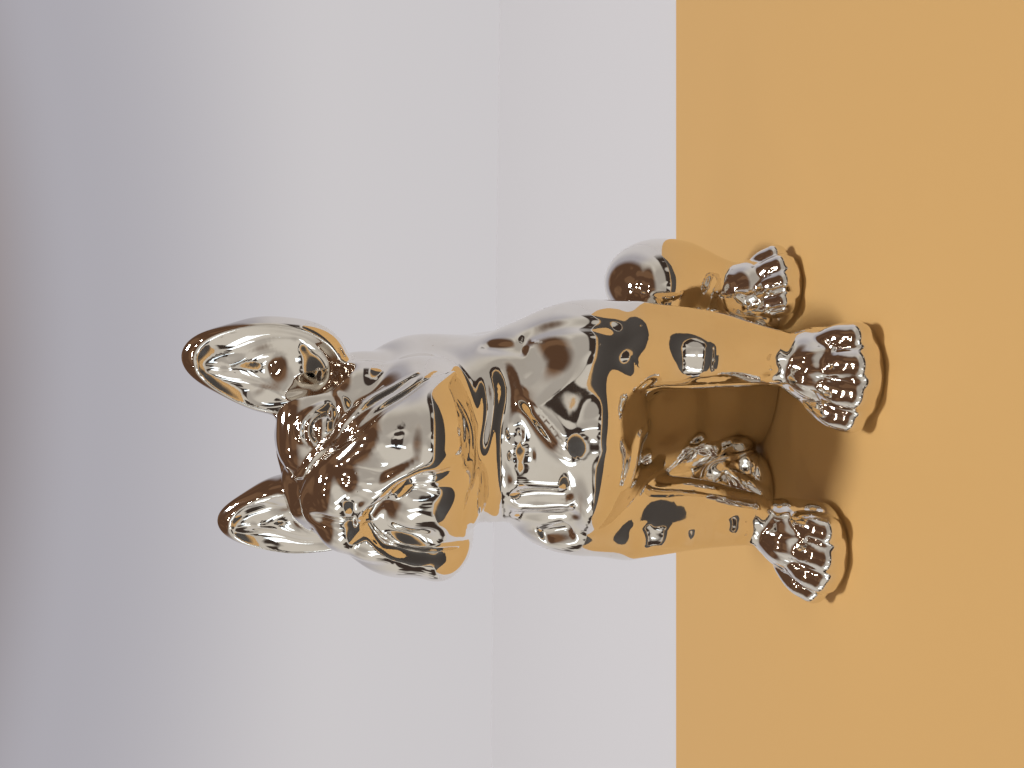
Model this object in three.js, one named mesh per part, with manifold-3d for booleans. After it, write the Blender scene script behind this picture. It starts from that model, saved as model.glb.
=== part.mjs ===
// A silver-plated ceramic dog that sits up on a shelf: ten slip castings joined
// on flat clay beds. Millimetres, +Z up, the dog looks along -Y and +X is its left.
// The origin is on the shelf, under the middle of the figure.
//
// Every mass is an egg shape or a tapered limb, and the masses of a casting run
// softly into each other. A casting is a sphere whose points are pushed out along
// rays from its own core until they reach that blended skin. The limbs and ears have
// saddle-shaped beds that follow the trunk and the head.

import * as THREE from 'three';
import { mergeVertices } from 'three/addons/utils/BufferGeometryUtils.js';
import Module from 'manifold-3d';

// Overall sizes
const HEIGHT = 214.5;          // ear tips above the shelf
const BREADTH = 118;           // across the haunches
const PATTERN_HEIGHT = 214.5;  // the two sizes at which the masses below were measured
const PATTERN_BREADTH = 118;

// Casting
const WALL = 5;                // thickness of the fired clay in trunk and head
const LUTE = 0.3;              // clay bed between two castings
const VENT_RADIUS = 5;         // firing vent in the seat
const CENTRE_BACK = 55.4;       // from the forepaw tips to the middle of the figure
const OVERRUN = 6;             // how far a blank passes its bed before it is trimmed
const BLOCK_REACH = 100;       // how deep the space beyond a bed goes

// Head: where its own axes start, and how far it looks to the dog's right
const HEAD_CORE = [-5, 31, 155];
const HEAD_TURN = -12.5;

const SILVER = { color: 0xd6d0c6, roughness: 0.06, metalness: 1 };

// Masses of the trunk: centre, half sizes, how softly each one runs into the rest
const CHEST = { centre: [0, 36, 92], half: [39, 30, 31], blend: 10 };
const RIBS = { centre: [0, 56, 78], half: [36, 33, 44], blend: 14, pitch: 14 };
const RUMP = { centre: [0, 84, 42], half: [37, 33, 36], blend: 16 };
const SEAT = { centre: [0, 93, 13], half: [35, 27, 24], blend: 10 };
const THROAT = { centre: [0, 31, 118], half: [31, 23, 24], blend: 10 };
const NECK = { centre: [0, 37, 123], half: [31, 27, 28], blend: 12 };
const NAPE = { centre: [-1, 43, 140], half: [32, 27, 30], blend: 10 };
const WITHERS = { centre: [0, 58, 112], half: [28, 22, 34], blend: 16 };
const SHOULDER = { centre: [31, 33, 82], half: [14.5, 20, 27], blend: 8 };

// Forelegs: points down the limb with the radius there. The paws are set unevenly.
const FORELEG = {
  left: [[31.5, 28, 68, 14.6], [31, 26, 46, 12.8], [29.5, 22, 26, 9.4]],
  right: [[-31.5, 28, 68, 14.6], [-29.5, 27, 46, 12.8], [-30, 24, 26, 9.4]],
  blend: 8,
};
const FOREPAW = {
  left: { top: [28, 15, 12], sole: [27, 11, 6] },
  right: { top: [-34, 16, 12], sole: [-36, 13, 6] },
  topHalf: [13, 15, 12],
  soleHalf: [17, 15, 12],
  splay: 9,
  blend: 5,
};

// Hind legs
const THIGH = { centre: [41, 91, 46], half: [18, 25, 23], blend: 8 };
const SHANK = { knee: [42, 90, 36], hock: [40, 84, 14], kneeRadius: 14, hockRadius: 9, blend: 8 };
const HINDPAW = { top: [41, 76, 12], topHalf: [12, 16, 13], sole: [42, 74, 6], soleHalf: [14.5, 16, 12] };
const HINDPAW_SPLAY = 42;
const HINDPAW_BLEND = 4;

// Masses of the head, in its own axes
const SKULL = { centre: [0, 2, 8], half: [31, 29, 26], blend: 6 };
const CHEEKS = { centre: [0, -2, -8], half: [32, 27, 22], blend: 8 };
const MUZZLE = { centre: [0, -21, -4], half: [25, 14, 18], blend: 6 };
const CHIN = { centre: [0, -23, -23], half: [21, 14, 13], blend: 5 };
const FLEW = { centre: [18, -22.5, -10], half: [15.5, 14, 19], blend: 5 };
const JOWL = { centre: [23, -9, -16], half: [14, 19, 15], blend: 6 };
const BROW = { centre: [11, -8, 22], half: [10, 10, 9], blend: 6 };
const NOSE = { centre: [0, -27, 11], half: [9, 6, 6], blend: 4 };
const EAR_FOOT = { centre: [31, 1.5, 25], half: [16.5, 8, 20], blend: 6, lean: 4 };
const EAR_TIP = { centre: [33, 0.5, 41], half: [11.5, 5, 18.5], blend: 9, lean: 2 };
const EAR_BOWL = { centre: [31.5, -6.5, 30], half: [12.5, 7, 21], blend: 2.5, lean: 4 };

// Flat beds where two castings meet: a point on the bed, the way it faces away from
// the casting that carries it, and the half size of the area that it covers.
const NECK_BED = { at: [0, 36, 127], facing: [0, -0.42, 0.91], cover: [60, 60] };
const HOCK_BED = { at: [43, 75, 22.5], facing: [0, 0, -1], cover: [40, 40] };

// Cores that the rays start from, and how far the hollows run past the neck bed
const HEAD_CENTRES = [[0, 0, -4], [0, -2, 4]];
const EAR_CORE = [[29, 3.5, 19], [31, 3.5, 30], [33, 2, 48]];
const HAUNCH_CORE = [[42, 86, 27], [42, 91, 47]];
const NECK_BOTTOM = 108;
const TRUNK_CORE = [[0, 88, 5], [0, 84, 30], [0, 66, 60], [0, 48, 86], [0, 41, 108], [0, 40, 136]];
const HOLLOW_CORE = [[0, 88, 12], [0, 84, 30], [0, 66, 60], [0, 48, 86], [0, 41, 108], [0, 40, 146]];

const wasm = await Module();
wasm.setup();

const RISE = HEIGHT / PATTERN_HEIGHT;
const SPREAD = BREADTH / PATTERN_BREADTH;
const SIDES = { left: 1, right: -1 };

const headTurn = new THREE.Matrix4().makeRotationZ(THREE.MathUtils.degToRad(HEAD_TURN));
const headFrame = headTurn.clone().setPosition(...HEAD_CORE);
const bodyFrame = new THREE.Matrix4();

// Mirror a point or direction to the dog's other side.
function sided([x, y, z], side) {
  return new THREE.Vector3(x * side, y, z);
}

// An egg: k (k - 1) / g, with k the point over the half sizes and g its slope.
function egg({ centre, half, blend = 0, pitch = 0, lean = 0, turn = 0 }, side = 1, frame = bodyFrame) {
  const place = new THREE.Matrix4().makeTranslation(sided(centre, side));
  const tilt = new THREE.Euler(pitch, lean * side, turn * side, 'XYZ');
  tilt.set(...tilt.toArray().slice(0, 3).map((a) => THREE.MathUtils.degToRad(a)), 'XYZ');
  place.multiply(new THREE.Matrix4().makeRotationFromEuler(tilt)).premultiply(frame);
  const inverse = place.clone().invert();
  const size = new THREE.Vector3(...half);
  const area = size.clone().multiply(size);
  const local = new THREE.Vector3();
  const scaled = new THREE.Vector3();
  const distance = (point) => {
    local.copy(point).applyMatrix4(inverse);
    const k = scaled.copy(local).divide(size).length();
    const g = scaled.copy(local).divide(area).length();
    return k * (k - 1) / Math.max(g, 1e-6);
  };
  return { distance, blend, place, size };
}

// A tapered limb: the distance to its axis less the radius at that height.
function limb(a, b, blend) {
  const start = new THREE.Vector3(a[0], a[1], a[2]);
  const axis = new THREE.Vector3(b[0], b[1], b[2]).sub(start);
  const offset = new THREE.Vector3();
  const distance = (point) => {
    offset.copy(point).sub(start);
    const t = THREE.MathUtils.clamp(offset.dot(axis) / axis.lengthSq(), 0, 1);
    return offset.addScaledVector(axis, -t).length() - THREE.MathUtils.lerp(a[3], b[3], t);
  };
  return { distance, blend };
}

// Soft union: the lower of two distances, eased where they differ by less than k.
function soften(a, b, k) {
  const h = Math.max(k - Math.abs(a - b), 0) / Math.max(k, 1e-6);
  return Math.min(a, b) - h * h * h * k / 6;
}

const headFirst = [SKULL, CHEEKS, MUZZLE, CHIN].map((mass) => egg(mass, 1, headFrame));
const bodyParts = [CHEST, RIBS, RUMP, SEAT, NECK, THROAT, NAPE, WITHERS].map((mass) => egg(mass));
for (const side of Object.values(SIDES)) {
  bodyParts.push(egg(SHOULDER, side));
  headFirst.push(...[FLEW, JOWL, BROW].map((mass) => egg(mass, side, headFrame)));
}
bodyParts.push(...headFirst, egg(NOSE, 1, headFrame));

// Depth of a point in a blend of masses: below zero inside.
function skinOf(parts) {
  return (point) => parts.reduce((nearest, part) => soften(nearest, part.distance(point), part.blend), 60);
}

const bodySkin = skinOf(bodyParts);

function earSkin(side) {
  return skinOf([EAR_FOOT, EAR_TIP].map((mass) => egg(mass, side, headFrame)));
}

function forelegSkin(name, side) {
  const leg = FORELEG[name];
  const paw = FOREPAW[name];
  return skinOf([
    limb(leg[0], leg[1], FORELEG.blend),
    limb(leg[1], leg[2], FOREPAW.blend),
    egg({ centre: paw.top, half: FOREPAW.topHalf, blend: FOREPAW.blend }),
    egg({ centre: paw.sole, half: FOREPAW.soleHalf, blend: FOREPAW.blend, turn: FOREPAW.splay * side }),
  ]);
}

function hindSkin(side) {
  const hock = [...sided(SHANK.hock, side), SHANK.hockRadius];
  const knee = [...sided(SHANK.knee, side), SHANK.kneeRadius];
  return skinOf([
    egg(THIGH, side),
    limb(knee, hock, SHANK.blend),
    egg({ centre: HINDPAW.top, half: HINDPAW.topHalf, blend: HINDPAW_BLEND, turn: HINDPAW_SPLAY }, side),
    egg({ centre: HINDPAW.sole, half: HINDPAW.soleHalf, blend: HINDPAW_BLEND, turn: HINDPAW_SPLAY }, side),
  ]);
}

// The block of space that belongs to the casting on a bed's far side. Its carrier
// gives up the block with half the lute all round, and the other casting keeps the
// block less half the lute.
function block(bed, side, share, frame = bodyFrame) {
  const reach = BLOCK_REACH;
  const facing = sided(bed.facing, side).normalize();
  const up = Math.abs(facing.z) > Math.SQRT1_2 ? new THREE.Vector3(0, 1, 0) : new THREE.Vector3(0, 0, 1);
  const across = new THREE.Vector3().crossVectors(up, facing).normalize();
  const place = new THREE.Matrix4().makeBasis(across, facing.clone().cross(across), facing);
  place.setPosition(sided(bed.at, side).addScaledVector(facing, reach / 2)).premultiply(frame);
  const half = new THREE.Vector3(bed.cover[0], bed.cover[1], reach / 2).addScalar(share * LUTE / 2);
  const inverse = place.clone().invert();
  const local = new THREE.Vector3();
  const depth = (point) => {
    local.copy(point).applyMatrix4(inverse);
    return Math.min(half.x - Math.abs(local.x), half.y - Math.abs(local.y), half.z - Math.abs(local.z));
  };
  const shape = new THREE.BoxGeometry(2 * half.x, 2 * half.y, 2 * half.z).applyMatrix4(place);
  return { depth, shape };
}

function floorBlock() {
  const size = 300;
  return new THREE.BoxGeometry(size, size, size).translate(0, 0, -size / 2);
}

// The point and the heading of a core line at a share of its segments. The heading
// turns evenly from one segment's middle to the next.
function along(core, share) {
  const last = core.length - 2;
  const t = THREE.MathUtils.clamp(share, 0, 1) * (last + 1);
  const i = Math.min(Math.floor(t), last);
  const heading = (k) => {
    const j = THREE.MathUtils.clamp(k, 0, last);
    return new THREE.Vector3(...core[j + 1]).sub(new THREE.Vector3(...core[j])).normalize();
  };
  const near = Math.floor(t - 0.5);
  return {
    start: new THREE.Vector3(...core[i]).lerp(new THREE.Vector3(...core[i + 1]), t - i),
    heading: heading(near).lerp(heading(near + 1), t - 0.5 - near).normalize(),
  };
}

// Push each point of a sphere out from the core until it passes the skin, a block
// that another casting has, or the floor. A point at height h on the sphere has its
// ray at slope 90 h^ends degrees to the core, so a long casting has level rings along
// its core and a cap at each end.
function wrap({ core, around, rings, skin, ends = 1, blocks = [], inset = 0, floor = -OVERRUN, ceiling = HEIGHT }) {
  const shape = new THREE.SphereGeometry(1, around, rings);
  shape.rotateX(Math.PI / 2);
  const points = shape.attributes.position;
  const upright = new THREE.Vector3(0, 0, 1);
  const turn = new THREE.Quaternion();
  const way = new THREE.Vector3();
  const at = new THREE.Vector3();
  const outside = (distance, start) => {
    at.copy(start).addScaledVector(way, distance);
    const pastBlock = blocks.some((one) => one.depth(at) > OVERRUN);
    return skin(at) > -inset || pastBlock || at.z < floor || at.z > ceiling;
  };
  for (let i = 0; i < points.count; i += 1) {
    way.fromBufferAttribute(points, i).normalize();
    const round = Math.atan2(way.y, way.x);
    const height = Math.asin(THREE.MathUtils.clamp(way.z, -1, 1)) / (Math.PI / 2);
    const slope = Math.sign(height) * Math.abs(height) ** ends * Math.PI / 2;
    const { start, heading } = along(core, (height + 1) / 2);
    way.set(Math.cos(slope) * Math.cos(round), Math.cos(slope) * Math.sin(round), Math.sin(slope));
    way.applyQuaternion(turn.setFromUnitVectors(upright, heading));
    let far = 1;
    while (!outside(far, start) && far < 200) {
      far += 1.5;
    }
    let near = far - 1.5;
    for (let step = 0; step < 14; step += 1) {
      const middle = (near + far) / 2;
      if (outside(middle, start)) {
        far = middle;
      } else {
        near = middle;
      }
    }
    at.copy(start).addScaledVector(way, Math.max(near, 0.2));
    points.setXYZ(i, at.x, at.y, at.z);
  }
  return shape;
}

function solid(geometry) {
  const bare = geometry.clone();
  bare.deleteAttribute('normal');
  bare.deleteAttribute('uv');
  const merged = mergeVertices(bare, 1e-4);
  return new wasm.Manifold(new wasm.Mesh({
    numProp: 3,
    vertProperties: new Float32Array(merged.attributes.position.array),
    triVerts: new Uint32Array(merged.index.array),
  }));
}

// The largest body of a result, as a named mesh in the figure's own frame.
function casting(name, made) {
  const bodies = made.decompose();
  bodies.sort((a, b) => b.volume() - a.volume());
  const { vertProperties, triVerts } = bodies[0].getMesh();
  const geometry = new THREE.BufferGeometry();
  geometry.setAttribute('position', new THREE.BufferAttribute(new Float32Array(vertProperties), 3));
  geometry.setIndex(new THREE.BufferAttribute(new Uint32Array(triVerts), 1));
  geometry.translate(0, -CENTRE_BACK, 0);
  geometry.scale(SPREAD, SPREAD, RISE);
  geometry.computeVertexNormals();
  const mesh = new THREE.Mesh(geometry, new THREE.MeshStandardMaterial(SILVER));
  mesh.name = name;
  return mesh;
}

function cut(from, ...tools) {
  return tools.reduce((left, tool) => left.subtract(solid(tool)), from);
}

const figure = new THREE.Group();
const floor = floorBlock();

// Trunk: chest, shoulders, back, rump and neck in one hollow casting, open at the neck
const neckTop = block(NECK_BED, 1, 1);
const trunkWrap = { core: TRUNK_CORE, around: 36, rings: 28, ends: 4, skin: bodySkin, blocks: [neckTop] };
const trunkInner = wrap({
  core: HOLLOW_CORE, around: 20, rings: 16, ends: 4, skin: bodySkin, inset: WALL, floor: WALL,
});
const vent = new THREE.CylinderGeometry(VENT_RADIUS, VENT_RADIUS, 4 * WALL, 20).rotateX(Math.PI / 2);
vent.translate(TRUNK_CORE[0][0], TRUNK_CORE[0][1], 0);
figure.add(casting('trunk_casting', cut(solid(wrap(trunkWrap)), neckTop.shape, floor, trunkInner, vent)));
const trunkBed = wrap({ ...trunkWrap, inset: -LUTE });

// Head: skull, muzzle, flews and chin in one hollow casting, open at the neck
const neckBottom = block(NECK_BED, 1, -1);
const headCore = HEAD_CENTRES.map((point) => new THREE.Vector3(...point).applyMatrix4(headFrame).toArray());
const headWrap = { core: headCore, around: 40, rings: 28, skin: bodySkin, floor: NECK_BOTTOM };
const headInner = wrap({ ...headWrap, around: 20, rings: 14, inset: WALL });
figure.add(casting('head_casting', cut(
  solid(wrap(headWrap)).intersect(solid(neckBottom.shape)), headInner,
)));
const headBed = wrap({ ...headWrap, inset: -LUTE });

for (const [name, side] of Object.entries(SIDES)) {
  // Ear: a leaf with a scooped front
  const earCore = EAR_CORE.map((point) => sided(point, side).applyMatrix4(headFrame).toArray());
  const bowl = egg(EAR_BOWL, side, headFrame);
  const scoop = new THREE.SphereGeometry(1, 24, 14);
  scoop.rotateX(Math.PI / 2).scale(bowl.size.x, bowl.size.y, bowl.size.z).applyMatrix4(bowl.place);
  const ear = wrap({ core: earCore, around: 24, rings: 16, ends: 1.6, skin: earSkin(side) });
  figure.add(casting(`${name}_ear`, cut(solid(ear), headBed, scoop)));

  // Foreleg with its paw
  const paw = FOREPAW[name];
  const legCore = [[paw.sole[0], paw.sole[1], 4], paw.top, ...FORELEG[name].toReversed().map((p) => p.slice(0, 3))];
  const leg = wrap({ core: legCore, around: 22, rings: 24, ends: 3, skin: forelegSkin(name, side) });
  figure.add(casting(`${name}_foreleg`, cut(solid(leg), trunkBed, floor)));

  // Haunch: thigh and shank, down to the hock
  const hind = hindSkin(side);
  const hockBlock = block(HOCK_BED, side, 1);
  const haunchCore = HAUNCH_CORE.map((point) => sided(point, side).toArray());
  const haunch = wrap({ core: haunchCore, around: 24, rings: 18, skin: hind, blocks: [hockBlock] });
  figure.add(casting(`${name}_haunch`, cut(solid(haunch), trunkBed, hockBlock.shape, floor)));

  // Hind paw
  const pawBlock = block(HOCK_BED, side, -1);
  const pawCore = [sided(HINDPAW.sole, side).toArray(), sided(HINDPAW.top, side).toArray()];
  const hindPaw = wrap({ core: pawCore, around: 22, rings: 14, skin: hind });
  figure.add(casting(`${name}_hind_paw`, cut(
    solid(hindPaw).intersect(solid(pawBlock.shape)), trunkBed, floor,
  )));
}

export default figure;
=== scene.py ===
# A silver-plated ceramic dog, sitting up. The shapes are in millimetres, x to the
# dog's left, y to its back, z up, from the shelf under the tips of its forepaws.
import math
from concurrent.futures import ThreadPoolExecutor

import bmesh
import bpy
import numpy as np
from mathutils import Matrix, Vector


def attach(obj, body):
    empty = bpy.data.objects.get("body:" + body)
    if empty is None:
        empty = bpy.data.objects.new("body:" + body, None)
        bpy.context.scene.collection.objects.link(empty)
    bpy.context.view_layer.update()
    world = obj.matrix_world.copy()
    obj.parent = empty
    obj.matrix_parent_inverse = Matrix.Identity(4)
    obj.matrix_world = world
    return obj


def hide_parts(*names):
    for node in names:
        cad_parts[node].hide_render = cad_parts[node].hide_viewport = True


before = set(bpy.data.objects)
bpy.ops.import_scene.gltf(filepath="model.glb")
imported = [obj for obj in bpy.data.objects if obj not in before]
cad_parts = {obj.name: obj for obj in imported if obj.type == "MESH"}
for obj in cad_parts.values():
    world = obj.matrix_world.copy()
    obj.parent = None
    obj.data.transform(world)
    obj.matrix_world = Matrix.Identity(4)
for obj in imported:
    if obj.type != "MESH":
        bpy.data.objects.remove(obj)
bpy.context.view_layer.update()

# Where the dog stands in the frame, and how its head is turned
layout = {
    "centreBack": 55.4,     # from the forepaw tips to the frame's origin
    "toMetres": 0.001,
    "headAt": (-5, 31, 155),
    "headTurn": -12.5,      # degrees, to the dog's right
    "faceTurn": -15.5,      # the features look a little further round than the skull
}

# How the modelling is worked out, in millimetres where it isn't a share or a count
working = {
    "farOff": 60,            # depth where nothing has been laid yet
    "floorSoft": 1.2,        # how softly the skin turns under at the shelf
    "margin": 6,             # how far past its own soft edge a step still counts
    "fade": 2.6,             # widths at which a crease has run out
    "layRounds": 8,          # rounds for laying a line on the skin
    "layReach": 0.2,         # how far to each side the slope is felt while laying
    "layMost": 3,            # longest move of a laid point in one round
    "block": 8,              # faces to a block of the search grid
    "blockReach": 1.15,      # sizes of a block within which the skin may run through it
    "outside": 9,            # depth written into the blocks far from the skin
    "feelReach": 0.25,       # how far to each side the slope of the skin is felt
    "settleMost": 0.8,       # longest move of a point of the net in one go
    "hollowLift": 2.5,       # how far above the skin its hollows are felt
}
# The corners of the small tetrahedron that feels the slope of the skin
feelers = np.array([(1, -1, -1), (-1, -1, 1), (-1, 1, -1), (1, 1, 1)], np.float32)


# A turn about one axis, as rows of cosines and sines
def turning(axis, degrees):
    angle = math.radians(degrees)
    c, s = math.cos(angle), math.sin(angle)
    rows = {
        "x": ((1, 0, 0), (0, c, -s), (0, s, c)),
        "y": ((c, 0, s), (0, 1, 0), (-s, 0, c)),
        "z": ((c, -s, 0), (s, c, 0), (0, 0, 1)),
    }
    return np.array(rows[axis])


headTurning = turning("z", layout["headTurn"])
faceTurning = turning("z", layout["faceTurn"])
headAt = np.array(layout["headAt"], float)


# An egg: k (k - 1) / g, where k is the point over the half sizes and g is k over them again.
# With a power p above 2 it is boxier: k is the p-th root of the sum of the p-th powers, and
# the depth is k^(p - 1) (k - 1) over the length of the (p - 1)-th powers over the half sizes.
def eggDepth(points, centre, half, turned, power):
    local = (points - centre) @ turned
    if power == 2:
        k = np.sqrt(((local / half) ** 2).sum(-1))
        g = np.sqrt(((local / (half * half)) ** 2).sum(-1))
        return k * (k - 1) / np.maximum(g, 1e-6)
    share = np.abs(local / half)
    k = (share ** power).sum(-1) ** (1 / power)
    g = np.sqrt(((share ** (power - 1) / half) ** 2).sum(-1))
    return k ** (power - 1) * (k - 1) / np.maximum(g, 1e-6)


# A smooth line through a few points: Catmull-Rom, as rows of x, y, z and the radius or any
# other values that ride on it, sampled evenly in its own parameter.
def smoothLine(points, samples=6):
    rows = np.array(points, float)
    padded = np.vstack([2 * rows[0] - rows[1], rows, 2 * rows[-1] - rows[-2]])
    t = np.linspace(0, len(rows) - 1, (len(rows) - 1) * samples + 1)
    i = np.minimum(t.astype(int), len(rows) - 2)
    f = (t - i)[:, None]
    a, b, c, d = padded[i], padded[i + 1], padded[i + 2], padded[i + 3]
    return 0.5 * (2 * b + (c - a) * f + (2 * a - 5 * b + 4 * c - d) * f ** 2
                  + (3 * b - a - 3 * c + d) * f ** 3)


# The nearest point of a line made of short straight runs: how far off it is, how far along
# the line it lies from 0 to 1, and the value that rides on the line there.
def nearLine(points, line):
    start, run = line[:-1, :3], np.diff(line[:, :3], axis=0)
    size = (run * run).sum(-1)
    best = np.full(len(points), 1e9, np.float32)
    share = np.zeros(len(points), np.float32)
    for k in range(len(run)):
        off = points - start[k]
        t = np.clip(off @ run[k] / size[k], 0, 1)
        off -= t[:, None] * run[k]
        far = (off * off).sum(-1)
        closer = far < best
        best = np.where(closer, far, best)
        share = np.where(closer, k + t, share)
    ride = np.interp(share, np.arange(len(line)), line[:, 3]).astype(np.float32)
    return np.sqrt(best), share / len(run), ride


# Soft union: the lower of two depths, eased by h^3 k / 6 where they differ by less than k.
def soften(a, b, k):
    h = np.maximum(k - np.abs(a - b), 0) / k
    return np.minimum(a, b) - h * h * h * k / 6


# One step of the modelling is the least and the most corner of the room that it reaches,
# and a function that changes the depth of the points there. This one lays on or cuts an egg.
def eggStep(at, half, soft, turned, cut, power):
    at = np.array(at, np.float32)
    half = np.array(half, np.float32)
    turned = turned.astype(np.float32)

    def change(depth, points):
        own = eggDepth(points, at, half, turned, power)
        return -soften(-depth, own, soft) if cut else soften(depth, own, soft)
    reach = float(half.max()) + soft + working["margin"]
    return at - reach, at + reach, change


# A roll: clay laid along a line, of the radius that rides on the line.
def rollStep(line, soft, cut=False):
    line = line.astype(np.float32)

    def change(depth, points):
        far, share, radius = nearLine(points, line)
        own = far - radius
        return -soften(-depth, own, soft) if cut else soften(depth, own, soft)
    reach = float(line[:, 3].max()) + soft + working["margin"]
    return line[:, :3].min(0) - reach, line[:, :3].max(0) + reach, change


# A crease (or a ridge, with a negative depth) drawn along a line: the skin sinks by
# depth exp(-(distance / width)^2), eased to nothing at the ends of the line. The width
# rides on the line, and is several times as much on the side that the slack faces.
def creaseStep(line, deep, ends=(0.2, 0.2), slack=None):
    line = line.astype(np.float32)

    def change(depth, points):
        far, share, width = nearLine(points, line)
        if slack:
            rungs, rung = share * (len(line) - 1), np.arange(len(line))
            nearest = np.stack([np.interp(rungs, rung, line[:, k]) for k in range(3)], 1)
            facing = (points - nearest) @ np.array(slack[:3]) / np.maximum(far, 0.3)
            facing = np.clip(facing, 0, 1)
            width = width * (1 + (slack[3] - 1) * facing * facing * (3 - 2 * facing))
        ease = np.clip(share / ends[0], 0, 1) * np.clip((1 - share) / ends[1], 0, 1)
        ease = ease * ease * (3 - 2 * ease)
        return depth + deep * ease * np.exp(-(far / width) ** 2)
    reach = working["fade"] * float(line[:, 3].max()) * (slack[3] if slack else 1)
    return line[:, :3].min(0) - reach, line[:, :3].max(0) + reach, change


# The same, round one point instead of along a line.
def dimpleStep(at, size, deep):
    at = np.array(at, np.float32)
    size = np.array(size, np.float32)

    def change(depth, points):
        return depth + deep * np.exp(-(((points - at) / size) ** 2).sum(-1))
    reach = working["fade"] * size
    return at - reach, at + reach, change


steps = []


# How far each point lies outside the skin, below zero inside: the steps are taken in their
# order, and the shelf cuts off what would reach below it.
def depthOf(points):
    points = points.astype(np.float32)
    depth = np.full(len(points), working["farOff"], np.float32)
    low, high = points.min(0), points.max(0)
    for least, most, change in steps:
        if (least > high).any() or (most < low).any():
            continue
        near = np.nonzero(((points > least) & (points < most)).all(1))[0]
        if len(near):
            depth[near] = change(depth[near], points[near])
    return -soften(-depth, points[:, 2], working["floorSoft"])


# The same place or line on the dog's left, 1, or its right, -1
def mirrored(values, side):
    values = np.array(values, float)
    values[..., 0] *= side
    return values


# Places written on the head go through the head's own turn, or the face's.
def placed(values, onHead):
    values = np.array(values, float)
    if onHead:
        turned = faceTurning if onHead == "face" else headTurning
        values[..., :3] = values[..., :3] @ turned.T + headAt
    return values


# A mass: an egg of three half sizes about a place, turned in degrees
def egg(at, half, soft, pitch=0, lean=0, turn=0, both=False, onHead=False, cut=False, power=2):
    for side in (1, -1) if both else (1,):
        turned = turning("x", pitch) @ turning("y", lean * side) @ turning("z", turn * side)
        if onHead:
            turned = (faceTurning if onHead == "face" else headTurning) @ turned
        steps.append(eggStep(placed(mirrored(at, side), onHead), half, soft, turned, cut, power))


# Move the points of a line down the slope of the skin as it stands, until they are as deep
# under it as asked.
def laid(rows, sunk):
    rows = np.array(rows, float)
    reach, most = working["layReach"], working["layMost"]
    sides = feelers.astype(float)
    for repeat in range(working["layRounds"]):
        around = rows[None, :, :3] + reach * sides[:, None]
        values = depthOf(around.reshape(-1, 3)).reshape(4, -1)
        slope = np.einsum("kn,kc->nc", values, sides) / (4 * reach)
        move = (values.mean(0) + sunk) / np.maximum((slope * slope).sum(1), 0.2)
        rows[:, :3] -= slope * np.clip(move, -most, most)[:, None]
    return rows


# A roll through a few points, sunk a little into the skin where that is asked
def roll(points, soft, both=False, onHead=False, cut=False, sunk=None):
    for side in (1, -1) if both else (1,):
        rows = placed(mirrored(points, side), onHead)
        rows = rows if sunk is None else laid(rows, sunk)
        steps.append(rollStep(smoothLine(rows), soft, cut))


# A crease or ridge through a few points, which are laid on the skin first
def crease(points, deep, both=False, onHead=False, ends=(0.2, 0.2), sunk=0, slack=None):
    for side in (1, -1) if both else (1,):
        rows = laid(placed(mirrored(points, side), onHead), sunk)
        steps.append(creaseStep(smoothLine(rows), deep, ends, slack))


def dimple(at, size, deep, both=False, onHead=False):
    for side in (1, -1) if both else (1,):
        steps.append(dimpleStep(placed(mirrored(at, side), onHead), size, deep))


ownSteps = {}


# Keep the steps made since the first one as a piece's own
def keepAs(name, first):
    ownSteps[name] = steps[first:]


# Trunk: egg-shaped masses, each running softly into the rest
trunk = {
    "chest": dict(at=(0, 36, 92), half=(39, 30, 31), soft=10),
    "ribs": dict(at=(0, 56, 78), half=(36, 33, 44), soft=14, pitch=14),
    "rump": dict(at=(0, 84, 42), half=(37, 33, 36), soft=16),
    "seat": dict(at=(0, 93, 13), half=(35, 27, 24), soft=10),
    "neck": dict(at=(0, 37, 123), half=(31, 27, 28), soft=12),
    "throat": dict(at=(0, 31, 118), half=(31, 23, 24), soft=10),
    "nape": dict(at=(-1, 43, 140), half=(32, 27, 30), soft=10),
    "withers": dict(at=(0, 58, 112), half=(28, 22, 34), soft=16),
    "shoulders": dict(at=(31, 33, 82), half=(14.5, 20, 27), soft=8, both=True),
}
for mass in trunk.values():
    egg(**mass)
keepAs("trunk", 0)

# Forelegs: points down the leg with the radius there
madeSoFar = len(steps)
forelegs = {
    "left": [(31.5, 28, 68, 14.6), (31, 26, 46, 12.8), (29.5, 22, 26, 9.4)],
    "right": [(-31.5, 28, 68, 14.6), (-29.5, 27, 46, 12.8), (-30, 24, 26, 9.4)],
    "soft": 7,
}
for name in ("left", "right"):
    roll(forelegs[name], forelegs["soft"])


# A toe from the knuckle to its tip: the shares of its place across the paw, how far along
# the paw from the tip, the heights, and the shares of its radius
toe = {
    "across": np.array([0.62, 0.82, 0.95, 1]),
    "along": np.array([-13, -8, -3.5, 0]),
    "height": np.array([16.5, 13.8, 10.4, 6.6]),
    "radius": np.array([0.30, 0.66, 0.95, 1]),
    "soft": 1.2,
}


# The line of one toe: its values times the toe's own, turned with the paw about the middle
# of its sole
def toePath(middle, turn, across, reach, radius):
    rows = np.zeros((4, 4))
    rows[:, 0], rows[:, 1] = across * toe["across"], -(reach + toe["along"])
    rows[:, 2], rows[:, 3] = toe["height"], radius * toe["radius"]
    rows[:, :3] = rows[:, :3] @ turning("z", turn).T
    rows[:, :2] += np.array(middle[:2])
    return rows


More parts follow.
